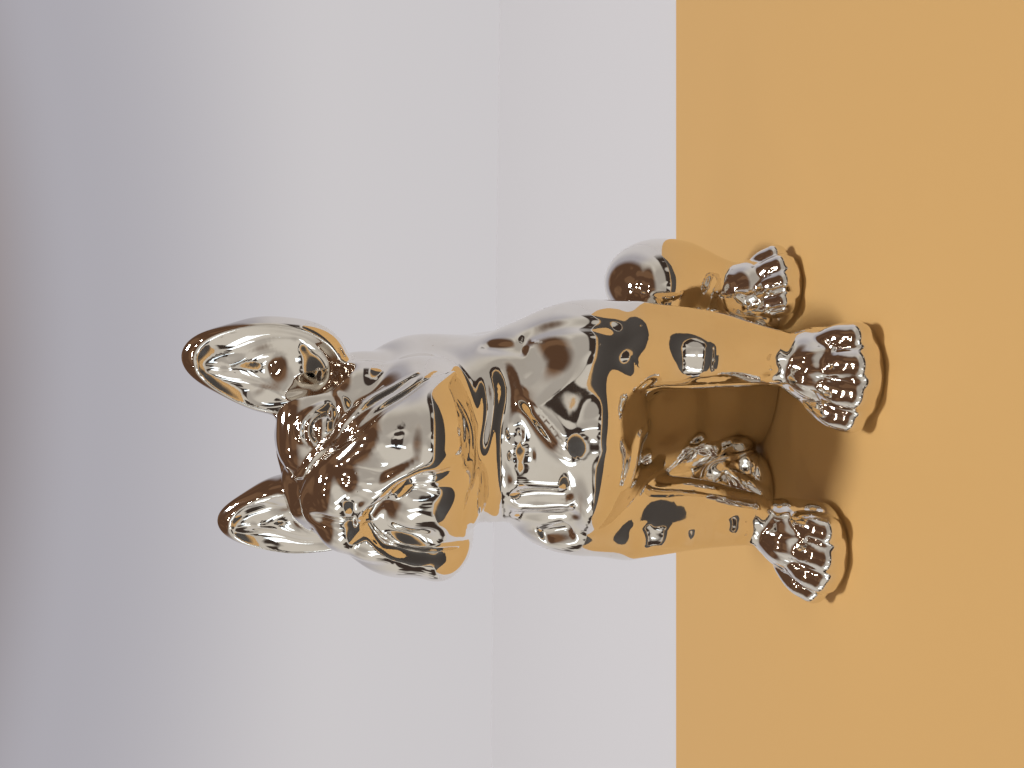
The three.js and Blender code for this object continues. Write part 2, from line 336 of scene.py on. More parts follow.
forepaws = {
    "left": dict(top=(28, 18, 12), sole=(27, 11, 5), splay=9),
    "right": dict(top=(-33.5, 19, 12), sole=(-36, 13, 5), splay=-9),
    "topHalf": (12.5, 13, 12.5),
    "soleHalf": (16.8, 14.8, 9),
    "soft": 5,
    # each toe's place across the paw, how far its tip reaches and its radius
    "toes": [(-12.3, 6.2, 4.9), (-4.3, 9.6, 5.4), (4.3, 9.6, 5.4), (12.3, 6.2, 4.9)],
}
for name in ("left", "right"):
    paw = forepaws[name]
    egg(paw["top"], forepaws["topHalf"], forepaws["soft"])
    egg(paw["sole"], forepaws["soleHalf"], forepaws["soft"], turn=paw["splay"])
    for across, reach, radius in forepaws["toes"]:
        roll(toePath(paw["sole"], paw["splay"], across, reach, radius), toe["soft"])
keepAs("forelegs", madeSoFar)

# Hind legs
madeSoFar = len(steps)
haunches = {
    "thigh": dict(at=(41, 91, 46), half=(18, 25, 23), soft=8, both=True),
    "shank": dict(points=[(42, 90, 36, 14), (40, 84, 14, 9)], soft=8, both=True),
    "pawTop": dict(at=(41, 79, 12), half=(11.5, 13, 13), soft=4, turn=42, both=True),
    "pawSole": dict(at=(42, 74, 5), half=(14.5, 15.5, 9), soft=4, turn=42, both=True),
    "toes": [(-10.3, 7.6, 4.5), (-3.5, 10.9, 4.8), (3.5, 10.9, 4.8), (10.3, 7.6, 4.6)],
}
egg(**haunches["thigh"])
roll(**haunches["shank"])
egg(**haunches["pawTop"])
egg(**haunches["pawSole"])
for side in (1, -1):
    middle = mirrored(haunches["pawSole"]["at"], side)
    turn = haunches["pawSole"]["turn"] * side
    for across, reach, radius in haunches["toes"]:
        roll(toePath(middle, turn, across, reach, radius), toe["soft"])
keepAs("haunches", madeSoFar)

# Head, in its own axes
head = {
    "skull": dict(at=(0, 2, 8), half=(31, 29, 26), soft=6),
    "cheeks": dict(at=(0, -2, -8), half=(32, 27, 22), soft=8),
    "muzzle": dict(at=(0, -21, -4), half=(25, 14, 18), soft=6),
    "chin": dict(at=(0, -23, -23), half=(21, 14, 13), soft=5),
    "flews": dict(at=(18, -22.5, -10), half=(15.5, 14, 19), soft=5, both=True),
    "jowls": dict(at=(23, -9, -16), half=(14, 19, 15), soft=6, both=True),
    "brows": dict(at=(11, -8, 22), half=(10, 10, 9), soft=6, both=True),
    "nose": dict(at=(0, -27, 11), half=(9, 6, 6), soft=4),
}
for mass in head.values():
    egg(onHead=True, **mass)

# Face, on the dog's left: rolls are x, y, z and radius, creases are x, y, z and width
face = {
    "browBall": dict(at=(14.8, -9.9, 14.0), half=(14.5, 10.5, 15.5), soft=3, turn=30, power=3),
    "cheek": dict(at=(24, -4, 2), half=(11.5, 9.5, 13), soft=5),
    "browParting": dict(points=[(0, -22, 22, 3), (0, -15, 31, 3.5), (0, -4, 34, 5)], deep=2.6),
    "noseRoll": dict(points=[(-1, -27, 13.8, 6.9), (3, -27, 13.5, 6.8), (8, -26, 11.7, 6.4),
                             (14.5, -26.5, 6.5, 6.0), (20.5, -27.5, -0.5, 5.6),
                             (25.5, -27.5, -8, 4.8), (30, -23.5, -15, 3.6), (34, -17, -21, 2.4),
                             (36, -10, -26, 1.0)], soft=4.0),
    "nosePad": dict(at=(6.5, -27.5, 8), half=(12, 10, 9.5), soft=3),
    "underNose": dict(at=(7, -27.6, 3.5), half=(13, 8, 8), soft=4.5),
    "whiskerFold": dict(points=[(4, -19, 21.5, 0.4), (8, -21, 19, 1.4), (12.4, -22, 15.5, 1.9),
                                (16.1, -22, 11.5, 2.1), (21.3, -23, 7, 2.2),
                                (25.8, -23, 3.3, 2.2), (29.6, -21.5, -1.5, 2.0),
                                (32.2, -17, -7.6, 1.6), (35, -11, -15, 0.4)], soft=1.2, sunk=0.2),
    "foldCrease": dict(points=[(6.5, -24, 18.5, 0.9), (12, -25, 14, 1.0), (15.7, -25.5, 9.7, 1.1),
                               (20.3, -26, 4.4, 1.1), (25, -26, -0.3, 1.1), (29.5, -24, -6, 1.1),
                               (33.5, -18.5, -13.5, 1.1), (36, -12, -21, 1.1)], deep=1.5),
    "lowerLid": dict(points=[(15.9, -21.4, 10.9, 0.4), (18.8, -19.7, 9.8, 1.0),
                             (22, -17.8, 9.7, 1.2), (24.7, -16.3, 10.6, 1.0),
                             (26.6, -15.2, 10.8, 0.3)],
                     soft=1.2, sunk=0.1),
    "pouch": dict(points=[(17.3, -20.6, 7.8, 0.4), (21, -18.4, 6.6, 1.6), (24.7, -16.3, 6.6, 1.8),
                          (28.3, -14.2, 7.8, 1.4), (30.7, -12.8, 9.7, 0.4)], soft=2.0, sunk=0.6),
    "upperLid": dict(points=[(16.4, -21.1, 12.8, 0.4), (17.8, -20.3, 16.2, 1.1),
                             (20.2, -18.9, 17.7, 1.4), (23.2, -17.2, 17.1, 1.4),
                             (25.1, -16.1, 14.6, 1.1), (26.1, -15.5, 11.6, 0.3)],
                     soft=0.9, sunk=0.3),
    "eyeball": dict(at=(20.05, -16.75, 12.5), half=(5.0, 4.6, 4.9), soft=0.4, turn=30),
    "lidArc": dict(points=[(17.3, -20.6, 17.7, 0.4), (19.6, -19.2, 20.2, 1.4),
                           (23.2, -17.2, 19.6, 1.7), (25.8, -15.6, 16.8, 1.7),
                           (27.4, -14.7, 13.4, 1.5), (27.8, -14.5, 10.9, 0.4)],
                   soft=1.6, sunk=0.7),
    "flewCap": dict(at=(12.8, -30.5, -3), half=(6.4, 7.6, 10.6), soft=3, power=2.4),
    "flewLobe": dict(at=(20.5, -20.8, -20.5), half=(15.3, 16, 11.8), soft=5),
    "lowerLip": dict(at=(2.6, -24, -17.5), half=(11.8, 13.8, 16.5), soft=2.0, power=2.4),
    "philtrum": dict(points=[(0, -32, 19, 1.5), (0, -34, 9, 1.6), (0, -34.5, 3, 1.5)],
                     deep=1.1, ends=(0.3, 0.1)),
    "lipRoll": dict(points=[(1.5, -34.5, 2.5, 1.6), (4.5, -34.5, 1.5, 2.2), (10, -34.5, -2, 2.6),
                            (16, -35.5, -8, 2.8), (20.5, -34.5, -16, 2.8),
                            (22.8, -30.5, -23, 1.0)],
                    soft=2.5, sunk=1.4),
    "mouth": dict(points=[(0, -35, 0, 1.1), (5.5, -35, -3.5, 1.2), (11.5, -35.3, -8, 1.3),
                          (16, -35.5, -14, 1.4), (18.5, -33, -21, 1.5),
                          (20.8, -28.5, -26.5, 1.5)],
                  deep=2.2, ends=(0.05, 0.3)),
    "mouthRight": dict(points=[(-1, -35, 0.5, 1.0), (-6.5, -36, -2, 1.2), (-10.5, -36, -6, 1.5),
                               (-13.3, -36, -11.5, 1.7), (-15.2, -35, -17, 1.8),
                               (-16.2, -33, -23, 1.8), (-18, -28, -28, 1.6)],
                       deep=4.0, ends=(0.05, 0.3)),
}


def shapeFace():
    onBoth = dict(both=True, onHead="face")
    egg(**face["browBall"], **onBoth)
    egg(**face["cheek"], **onBoth)
    roll(**face["noseRoll"], **onBoth)
    egg(**face["nosePad"], **onBoth)
    egg(**face["underNose"], **onBoth)
    egg(**face["flewLobe"], **onBoth)
    egg(**face["flewCap"], **onBoth)
    roll(**face["lipRoll"], onHead="face")
    egg(**face["lowerLip"], onHead="face")
    roll(**face["whiskerFold"], **onBoth)
    roll(**face["pouch"], **onBoth)
    roll(**face["lidArc"], **onBoth)
    roll(**face["lowerLid"], **onBoth)
    roll(**face["upperLid"], **onBoth)
    egg(**face["eyeball"], **onBoth)
    crease(**face["foldCrease"], **onBoth)
    crease(**face["mouth"], onHead="face")
    crease(**face["mouthRight"], onHead="face")
    crease(**face["browParting"], onHead="face")
    crease(**face["philtrum"], onHead="face")


shapeFace()

# Folds and muscles of the body, each a line and its depth: above zero for a valley, below
# for a ridge. A terrace is a ridge that falls away slowly to one side.
bodyFolds = {
    "pecs": [dict(at=(-1, 29, 83), half=(34, 24.6, 16), soft=8),
             dict(at=(9, 19.5, 82), half=(15.5, 16.3, 9.5), soft=4),
             dict(at=(-11, 18, 84), half=(18, 13.6, 9.5), soft=4),
             dict(at=(18, 31, 105), half=(20, 17, 20), soft=8),
             dict(at=(25, 28, 84), half=(18, 17, 18), soft=9)],
    "strokes": [
        ([(-32, 18, 122, 1.5), (-19, 0, 125, 1.6), (-9, -2, 124.5, 1.6), (-2.6, 1, 121.8, 1.7),
          (7.5, 8, 119.9, 1.8), (17.8, 11.3, 118.6, 1.8), (27, 18, 120, 1.6)], 1.4),
        ([(-30, 23, 113.5, 3), (-19, 12, 114, 3), (-6, 7.7, 114.5, 3), (10.5, 8.6, 114.5, 3),
          (21.7, 14, 112.4, 3), (29, 21, 115, 3)], 1.7),
        ([(-25, 16, 111, 2.6), (-21.5, 12, 99, 2.8), (-18, 9.5, 86, 2.6)], 1.1),
        ([(-20, 13, 112, 2.8), (-17, 9.5, 99, 3.2), (-14.5, 8, 88, 2.8)], -1.0),
        ([(-14.5, 11, 113, 2), (-12.5, 8, 100, 2.4), (-12, 7.5, 90, 2)], 0.9),
        ([(-8, 9, 113, 2.8), (-7, 7.2, 92, 3)], -0.8),
        ([(1, 8, 113, 2.4), (2, 7, 103, 2.2)], 0.5),
        ([(8, 8.5, 113, 2.4), (8.5, 8, 107, 2.2)], 0.5),
        ([(31.3, 26.5, 121.3, 2), (31.5, 22, 112, 2.4), (31, 19.9, 104.9, 2)], 0.9),
        ([(32, 19.9, 104.9, 2), (35, 22.7, 105.4, 2.2), (38.7, 21.2, 98.7, 2.6),
          (40.3, 17.6, 83.4, 2.6), (39.9, 16.6, 75.7, 2)], 0.8),
        ([(-33.4, 17.9, 101, 3), (-30, 15, 95, 3.4), (-27.1, 13.1, 89, 3)], 1.8),
        ([(-13, 12, 76, 2), (-4, 13, 73, 2.2), (4.6, 14.5, 70.6, 2.2), (7.7, 22, 63, 2)], -1.3),
        ([(-37, 15, 66, 2.5), (-31.4, 13.5, 65, 3), (-26, 14, 67, 2.5)], 0.9),
        ([(-37, 15, 58, 3), (-31.4, 13.5, 57, 3.4), (-26, 14, 58, 3)], -0.8),
        ([(-37, 15, 51, 2), (-32.5, 14.5, 50.4, 2.2), (-28, 14.5, 51, 2)], 0.6),
        ([(-31, 15, 37, 3), (-27.6, 14.9, 36, 3), (-24, 15, 37, 3)], 0.9),
        ([(22, 14, 30, 2.5), (28, 11, 27.5, 2.8), (35, 13, 30, 2.5)], 0.9),
        ([(-37, 18, 29, 2.5), (-30, 14, 27.5, 2.8), (-24, 15, 29, 2.5)], 0.9),
    ],
    "terraceEnds": (0.35, 0.3),
    "terraces": [
        dict(points=[(0, 5.2, 88.6, 3.6), (23, 13.7, 108.2, 3.6)], deep=-2.8,
             slack=(0.62, 0, -0.78, 4), sunk=-2.5),
        dict(points=[(21, 15, 69, 4), (36, 13.5, 76, 4)], deep=-1.7, slack=(0, 0, -1, 2),
             sunk=-1.5),
        dict(points=[(22, 13.4, 49, 5.5), (40, 15, 50, 5.5)], deep=-3.0, slack=(0, 0, -1, 2.2),
             sunk=-2),
    ],
    "bothStrokes": [
        ([(27, 88, 66, 3), (38, 70, 62, 3), (52, 76, 54, 2.4)], 0.5),
        ([(33, 67, 33, 2), (40, 66, 31, 2.4), (49, 74, 29, 2)], 1.0),
        ([(34, 70, 26, 1.6), (42, 68, 25, 1.8), (51, 76, 24, 1.6)], -0.6),
    ],
    "shin": dict(at=(39, 67, 37.5), size=(5, 6, 5), deep=1.8, both=True),
    "tendons": [-7.5, -2.4, 2.6, 7.6],     # places across the forepaw
    "tendonWidth": 1.5,
    "tendonHeight": 0.8,
    "tendonReach": 9,
    "tendonTop": (0.35, -3, 25),           # share across, offset along and height
    "tendonEnds": (0.3, 0.3),
    "vent": dict(points=[(0, 88, -6, 5), (0, 88, 9, 5)], soft=0.8, cut=True),
}
for mass in bodyFolds["pecs"]:
    egg(**mass)
for points, deep in bodyFolds["strokes"]:
    crease(points, deep)
for terrace in bodyFolds["terraces"]:
    crease(**terrace, ends=bodyFolds["terraceEnds"])
for points, deep in bodyFolds["bothStrokes"]:
    crease(points, deep, both=True)
dimple(**bodyFolds["shin"])
for name in ("left", "right"):
    paw = forepaws[name]
    inward, forward, height = bodyFolds["tendonTop"]
    for across in bodyFolds["tendons"]:
        rows = toePath(paw["sole"], paw["splay"], across, bodyFolds["tendonReach"], 1)[:3]
        rows[0, :3] = (paw["top"][0] + inward * across, paw["top"][1] + forward, height)
        rows[:, 3] = bodyFolds["tendonWidth"]
        crease(rows, -bodyFolds["tendonHeight"], ends=bodyFolds["tendonEnds"])

roll(**bodyFolds["vent"])

# Ears, on the head's axes: a thin leaf on a boxy foot, with its bowl cut out last
ears = {
    "root": dict(at=(23, 6, 4), half=(9, 9, 11), soft=6),
    "foot": dict(at=(30.3, 1.5, 27.5), half=(16.8, 8, 19.5), soft=6, lean=4, power=2.5),
    "inside": dict(at=(25.5, 1.5, 34), half=(9.5, 6, 17), soft=5, lean=14),
    "tip": dict(at=(33, 0.5, 41), half=(12, 5, 18.5), soft=9, lean=2),
    "bowl": dict(at=(33.8, -6.5, 31.2), half=(17.2, 7, 26.6), soft=1.2, lean=4, cut=True),
}
for mass in ears.values():
    egg(onHead=True, both=True, **mass)

# Mounds and ribs inside the ear
earFolds = {
    "baseBump": dict(at=(29.5, 1.8, 23.5), half=(9, 5.2, 9), soft=5),
    "innerBump": dict(at=(20, -0.4, 34), half=(3.2, 2, 4.5), soft=4.5),
    "middleRib": dict(points=[(32.5, 0, 54, 0.6), (32.2, 0, 47, 2.0), (30.5, 0, 40, 2.4),
                              (27, 0, 33, 2.0), (24, -1, 28, 0.8)],
                      soft=6, sunk=1.2),
    "outerRib": dict(points=[(32.2, 0, 44, 0.6), (35, 0, 37, 2.0), (38, 0, 30, 2.0),
                             (39, 0, 23, 0.8)], soft=6, sunk=1.2),
}
egg(**earFolds["baseBump"], onHead=True, both=True)
egg(**earFolds["innerBump"], onHead=True, both=True)
roll(**earFolds["middleRib"], onHead=True, both=True)
roll(**earFolds["outerRib"], onHead=True, both=True)
print("modelling written down,", len(steps), "steps")

hands = {"count": 4, "points": 24000}      # how many work side by side, and on how much
pool = ThreadPoolExecutor(hands["count"])


# depthOf for many points, shared out between the hands
def depths(points):
    parts = np.array_split(points, max(hands["count"], len(points) // hands["points"]))
    return np.concatenate(list(pool.map(depthOf, parts)))


# The slope of the depth from four corners of a small tetrahedron, and the depth between them
def slopes(points):
    reach = working["feelReach"]
    values = depths((points[None] + reach * feelers[:, None]).reshape(-1, 3)).reshape(4, -1)
    return np.einsum("kn,kc->nc", values, feelers) / (4 * reach), values.mean(0)


# Where the corners of a square read in, out, in, out, two sheets of the net would share an
# edge there: the fainter of the two outer corners is let in.
def unpinch(full):
    for repeat in range(3):
        for b, d in ((0, 1), (0, 2), (1, 2)):
            square = []
            for i, j in ((0, 0), (1, 0), (1, 1), (0, 1)):
                part = [slice(None)] * 3
                part[b] = slice(i, full.shape[b] - 1 + i)
                part[d] = slice(j, full.shape[d] - 1 + j)
                square.append(full[tuple(part)])
            first, second, third, fourth = (corner < 0 for corner in square)
            at = np.argwhere((first == third) & (second == fourth) & (first != second))
            values = np.stack([corner[tuple(at.T)] for corner in square], 1)
            fainter = np.where(values > 0, values, np.inf).argmin(1)
            for k in range(4):
                square[k][tuple(at[fainter == k].T)] = -0.01    # just inside


# A net over the skin: one point in each cell that the skin runs through, at the middle of
# its crossings, and one face across each crossed edge. Only blocks near the skin are read.
def skinNet(step, space):
    block, outside = working["block"], working["outside"]
    low, high = (np.array(corner, float) for corner in space)
    size = step * block
    count = np.ceil((high - low) / size).astype(int)
    cells = np.stack(np.meshgrid(*[np.arange(k) for k in count], indexing="ij"), -1)
    cells = cells.reshape(-1, 3)
    coarse = depths(low + (cells + 0.5) * size)
    near = cells[np.abs(coarse) < working["blockReach"] * size]
    full = np.empty(count * block, np.float32)
    blocks = full.reshape(count[0], block, count[1], block, count[2], block)
    coarse = coarse.reshape(count[0], 1, count[1], 1, count[2], 1)
    blocks[:] = np.where(coarse > 0, outside, -outside)
    inner = np.stack(np.meshgrid(*[np.arange(block)] * 3, indexing="ij"), -1).reshape(-1, 3)
    points = low + ((near[:, None] * block + inner) + 0.5) * step
    fine = depths(points.reshape(-1, 3)).reshape(-1, block, block, block)
    blocks[near[:, 0], :, near[:, 1], :, near[:, 2], :] = fine
    unpinch(full)
    inside = full < 0
    corners = np.zeros(np.array(full.shape) - 1, np.int8)
    for i, j, k in np.ndindex(2, 2, 2):
        corners += inside[i:i + corners.shape[0], j:j + corners.shape[1], k:k + corners.shape[2]]
    held = np.argwhere((corners > 0) & (corners < 8))
    order = np.full(corners.shape, -1, np.int32)
    order[tuple(held.T)] = np.arange(len(held))
    total = np.zeros((len(held), 3))
    crossings = np.zeros(len(held))
    faces = []
    for axis in range(3):
        b, d = [k for k in range(3) if k != axis]
        for i, j in np.ndindex(2, 2):
            first = np.zeros(3, int)
            first[b], first[d] = i, j
            second = first.copy()
            second[axis] = 1
            f0, f1 = full[tuple((held + first).T)], full[tuple((held + second).T)]
            crossed = (f0 < 0) != (f1 < 0)
            place = np.repeat(first[None] + 0.0, len(held), 0)
            place[:, axis] = np.where(crossed, f0 / np.where(crossed, f0 - f1, 1), 0)
            total += place * crossed[:, None]
            crossings += crossed
        lower, upper = [slice(1, -1)] * 3, [slice(1, -1)] * 3
        lower[axis], upper[axis] = slice(0, -1), slice(1, None)
        edges = np.argwhere(inside[tuple(lower)] != inside[tuple(upper)])
        leaving = inside[tuple(lower)][tuple(edges.T)]
        corner = edges.copy()
        corner[:, b] += 1
        corner[:, d] += 1
        around = []
        for ob, od in ((-1, -1), (0, -1), (0, 0), (-1, 0)):
            cell = corner.copy()
            cell[:, b] += ob
            cell[:, d] += od
            around.append(order[tuple(cell.T)])
        around = np.stack(around, 1)
        leaving = ~leaving if axis == 1 else leaving    # its square runs the other way round
        faces.append(np.where(leaving[:, None], around, around[:, ::-1]))
    return low + (held + total / crossings[:, None] + 0.5) * step, np.concatenate(faces)


# Even out the net with its neighbours, then move each point down the slope onto the skin.
def settle(points, edges, rounds):
    for turn in range(rounds + 1):
        for repeat in range(2):
            slope, depth = slopes(points)
            move = -slope * (depth / np.maximum((slope * slope).sum(1), 0.05))[:, None]
            far = np.linalg.norm(move, axis=1, keepdims=True)
            points = points + move * np.minimum(1, working["settleMost"] / np.maximum(far, 1e-9))
        if turn < rounds:
            ends = np.concatenate([edges, edges[:, ::-1]])
            met = np.bincount(ends[:, 0], minlength=len(points))
            total = [np.bincount(ends[:, 0], points[ends[:, 1], k], len(points))
                     for k in range(3)]
            points = 0.5 * points + 0.5 * np.stack(total, 1) / met[:, None]
    return points


# Each face of four is split along its shorter diagonal.
def triangled(points, faces):
    a, b, c, d = (points[faces[:, k]] for k in range(4))
    straight = (np.linalg.norm(a - c, axis=1) <= np.linalg.norm(b - d, axis=1))[:, None]
    first = np.where(straight, faces[:, [0, 1, 2]], faces[:, [0, 1, 3]])
    second = np.where(straight, faces[:, [0, 2, 3]], faces[:, [1, 2, 3]])
    return np.concatenate([first, second])


# Cut the faces that a border runs through. A border is a number at each point that is below
# zero on the piece's side. Each cut edge gets one point, at the share where it reads zero.
def cutAlong(points, faces, border, chosen):
    border = np.where(np.abs(border) < 1e-4, 1e-4, border)
    inside = border[faces] < 0
    crossed = chosen & inside.any(1) & ~inside.all(1)
    whole, split, within = faces[~crossed], faces[crossed], inside[crossed]
    alone = np.where(within.sum(1) == 1, within.argmax(1), (~within).argmax(1))
    rows = np.arange(len(split))
    a, b, c = (split[rows, (alone + k) % 3] for k in range(3))
    edges = np.sort(np.concatenate([np.stack([a, b], 1), np.stack([c, a], 1)]), 1)
    unique, where = np.unique(edges, axis=0, return_inverse=True)
    f0, f1 = border[unique[:, 0]], border[unique[:, 1]]
    share = (f0 / (f0 - f1))[:, None]
    added = points[unique[:, 0]] * (1 - share) + points[unique[:, 1]] * share
    where = where.reshape(-1) + len(points)
    ab, ca = where[:len(split)], where[len(split):]
    tips = np.stack([a, ab, ca], 1)
    rest = np.concatenate([np.stack([ab, b, c], 1), np.stack([ab, c, ca], 1)])
    tipIn = within[rows, alone]
    made = np.concatenate([whole, tips, rest])
    isIn = np.concatenate([inside[~crossed].all(1), tipIn, ~tipIn, ~tipIn])
    origin = np.concatenate([np.nonzero(~crossed)[0]] + [np.nonzero(crossed)[0]] * 3)
    return np.concatenate([points, added]), made, isIn, origin


# How far each point lies outside one casting's own steps alone
def ownDepth(name, points):
    depth = np.full(len(points), working["farOff"], np.float32)
    points = points.astype(np.float32)
    wider = borders["wider"]
    for least, most, change in ownSteps[name]:
        near = np.nonzero(((points > least - wider) & (points < most + wider)).all(1))[0]
        depth[near] = change(depth[near], points[near])
    return depth


# A flat border through a place: minus the distance along the way that it faces, so that
# it is below zero beyond the border
def beyond(at, facing):
    facing = np.array(facing, float)
    return lambda points: -(points - np.array(at, float)) @ (facing / np.linalg.norm(facing))


# How finely the two nets are drawn, and the space that each is looked for in
nets = {
    "bodyStep": 0.85,            # size of one face
    "headStep": 0.62,
    "quickSteps": (1.3, 1.0),
    "bodySpace": ((-66, -20, -4), (66, 128, 152)),
    "headSpace": ((-60, -20, 98), (60, 92, 222)),
    "rounds": 1,                 # times that each net is evened out
}

# Where one casting ends and the next begins: a place and the way that the border faces. The
# forelegs and haunches end where the trunk's own steps reach further out than theirs.
borders = {
    "neck": ((0, 36, 127), (0, -0.42, 0.91)),
    "legTop": ((0, 29, 66), (0, -0.42, -0.9)),
    "hock": 22.5,                # height of the hind paws
    "earFoot": ((30.5, 0, 22), (0.707, 0, 0.707)),
    "wider": 20,                 # how far past its reach a casting's own step is still read
}


# The net of a space, evened out, laid on the skin and split into faces of three
def netOf(step, space):
    points, faces = skinNet(step, space)
    sides = [faces[:, [k, (k + 1) % 4]] for k in range(4)]
    edges = np.unique(np.sort(np.concatenate(sides), 1), axis=0)
    points = settle(points, edges, nets["rounds"])
    return points, triangled(points, faces)


# Give the faces of one casting that lie inside a border another casting's number
def divide(net, border, source, target):
    points, faces, owner = net
    points, faces, isIn, origin = cutAlong(points, faces, border(points), owner == source)
    owner = owner[origin]
    owner = np.where(isIn & (owner == source), target, owner)
    return points, faces, owner


neckBorder = beyond(*borders["neck"])
legTop = beyond(*borders["legTop"])


# Below zero where a casting's own steps reach further out than the trunk's
def pastTrunk(name, points):
    return ownDepth(name, points) - ownDepth("trunk", points)


points, faces = netOf(nets["bodyStep"], nets["bodySpace"])
body = points, faces, np.zeros(len(faces), int)
body = divide(body, neckBorder, 0, -1)
body = divide(body, lambda p: np.maximum(pastTrunk("forelegs", p), legTop(p)), 0, 1)
body = divide(body, lambda p: pastTrunk("haunches", p), 0, 2)
body = divide(body, lambda p: p[:, 2] - borders["hock"], 2, 3)
print("body net", len(body[0]), "points")

points, faces = netOf(nets["headStep"], nets["headSpace"])
headNet = points, faces, np.zeros(len(faces), int)
headNet = divide(headNet, lambda p: -neckBorder(p), 0, -1)
for target, side in ((1, 1), (2, -1)):
    foot = placed(mirrored(borders["earFoot"][0], side), True)
    facing = placed(mirrored(borders["earFoot"][1], side), True) - headAt
    headNet = divide(headNet, beyond(foot, facing), 0, target)
print("head net", len(headNet[0]), "points")


# One casting: its part of the net, closed where it meets its neighbours, with the slope of
# the skin for its normals and how far each point lies in a crease
def casting(name, net, chosen):
    points, faces, owner = net
    faces = faces[chosen]
    used = np.unique(faces)
    points = points[used]
    faces = np.searchsorted(used, faces)
    slope = slopes(points)[0]
    normals = slope / np.linalg.norm(slope, axis=1, keepdims=True)
    lift = working["hollowLift"]
    hollow = np.clip(1 - depths(points + lift * normals) / lift, 0, 1)
    mesh = bpy.data.meshes.new(name)
    shift = np.array((0, layout["centreBack"], 0))
    mesh.from_pydata(((points - shift) * layout["toMetres"]).tolist(), [], faces.tolist())
    edit = bmesh.new()
    edit.from_mesh(mesh)
    openEdges = [edge for edge in edit.edges if edge.is_boundary]
    filled = bmesh.ops.holes_fill(edit, edges=openEdges, sides=0)["faces"]
    bmesh.ops.poke(edit, faces=filled)
    edit.to_mesh(mesh)
    edit.free()
    corners = np.empty(len(mesh.loops), np.int32)
    mesh.loops.foreach_get("vertex_index", corners)
    flat = np.empty(len(mesh.polygons) * 3, np.float32)
    mesh.polygons.foreach_get("normal", flat)
    cornerNormals = np.repeat(flat.reshape(-1, 3), 3, 0)
    skin = len(faces) * 3
    cornerNormals[:skin] = normals[corners[:skin]]
    mesh.polygons.foreach_set("use_smooth", np.ones(len(mesh.polygons), bool))
    mesh.normals_split_custom_set(cornerNormals.tolist())
    shade = np.zeros(len(mesh.vertices), np.float32)
    shade[:len(hollow)] = hollow
    mesh.attributes.new("hollow", "FLOAT", "POINT").data.foreach_set("value", shade)
    piece = bpy.data.objects.new(name + "_silver", mesh)
    bpy.context.scene.collection.objects.link(piece)
    piece.data.materials.append(silver)
    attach(piece, "root")
    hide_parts(name)
    print(name, len(mesh.polygons), "faces,", len(filled), "joins closed")


# A value on its way through the nodes, so that sums can be written as they are thought
class Signal:
    def __init__(self, nodes, socket):
        self.nodes, self.socket = nodes, socket

    def maths(self, operation, first, second):
        return self.nodes.add("ShaderNodeMath", {"operation": operation}, {0: first, 1: second})

    def __add__(self, other):
        return self.maths("ADD", self, other)

    def __radd__(self, other):
        return self.maths("ADD", other, self)

    def __sub__(self, other):
        return self.maths("SUBTRACT", self, other)

    def __rsub__(self, other):
        return self.maths("SUBTRACT", other, self)

    def __mul__(self, other):
        return self.maths("MULTIPLY", self, other)

    def __rmul__(self, other):
        return self.maths("MULTIPLY", other, self)

    def other(self, name):
        return Signal(self.nodes, self.socket.node.outputs[name])


# The nodes of one material or of the world
class NodeDesk:
    def __init__(self, owner):
        self.tree = owner.node_tree
        self.tree.nodes.clear()

    def add(self, kind, settings=None, values=None, output=0):
        node = self.tree.nodes.new(kind)
        for name, value in (settings or {}).items():
            setattr(node, name, value)
        for name, value in (values or {}).items():
            if isinstance(value, Signal):
                self.tree.links.new(value.socket, node.inputs[name])
            else:
                node.inputs[name].default_value = value
        return Signal(self, node.outputs[output]) if len(node.outputs) else None

    def noise(self, place, scale, detail=2, rough=0.5):
        return self.add("ShaderNodeTexNoise", None,
                        {"Vector": place, "Scale": scale, "Detail": detail, "Roughness": rough})

    # 0 at low, 1 at high, eased between
    def ease(self, value, low, high):
        return self.add("ShaderNodeMapRange", {"interpolation_type": "SMOOTHSTEP"},
                        {"Value": value, "From Min": low, "From Max": high})

    # The colour sockets of a Mix node are 6 and 7 going in, and 2 coming out
    def blend(self, share, first, second):
        return self.add("ShaderNodeMix", {"data_type": "RGBA"},
                        {0: share, 6: first, 7: second}, output=2)


# Silver plate over a glazed casting. The scales are waves to a metre, the heights metres,
# and each pair of numbers is where a mark begins and where it is full.
plating = {
    "bright": (0.86, 0.83, 0.785, 1),
    "worn": (0.80, 0.755, 0.69, 1),
    "tarnish": (0.62, 0.54, 0.43, 1),
    "roughness": 0.025,
    "smearScale": 45,            # plate worn by handling
    "smearFrom": (0.42, 0.72),
    "smearColour": 0.6,
    "smearRough": 0.045,
    "streakScale": 225,
    "streakFrom": (0.55, 0.8),
    "streakColour": 0.25,
    "foldFrom": (0.35, 0.85),    # dust and tarnish down in the folds
    "foldColour": 0.55,
    "foldRough": 0.16,
    "speckScale": 240,           # a few pinholes in the plate
    "speckFrom": (0.10, 0.05),
    "sparseScale": 120,
    "sparseFrom": (0.62, 0.66),
    "speckColour": 0.45,
    "speckRough": 0.2,
    "speckDepth": 0.00003,
    "waveScale": 120,
    "waveHeight": 0.00006,
    "peelScale": 520,
    "peelHeight": 0.000004,
}


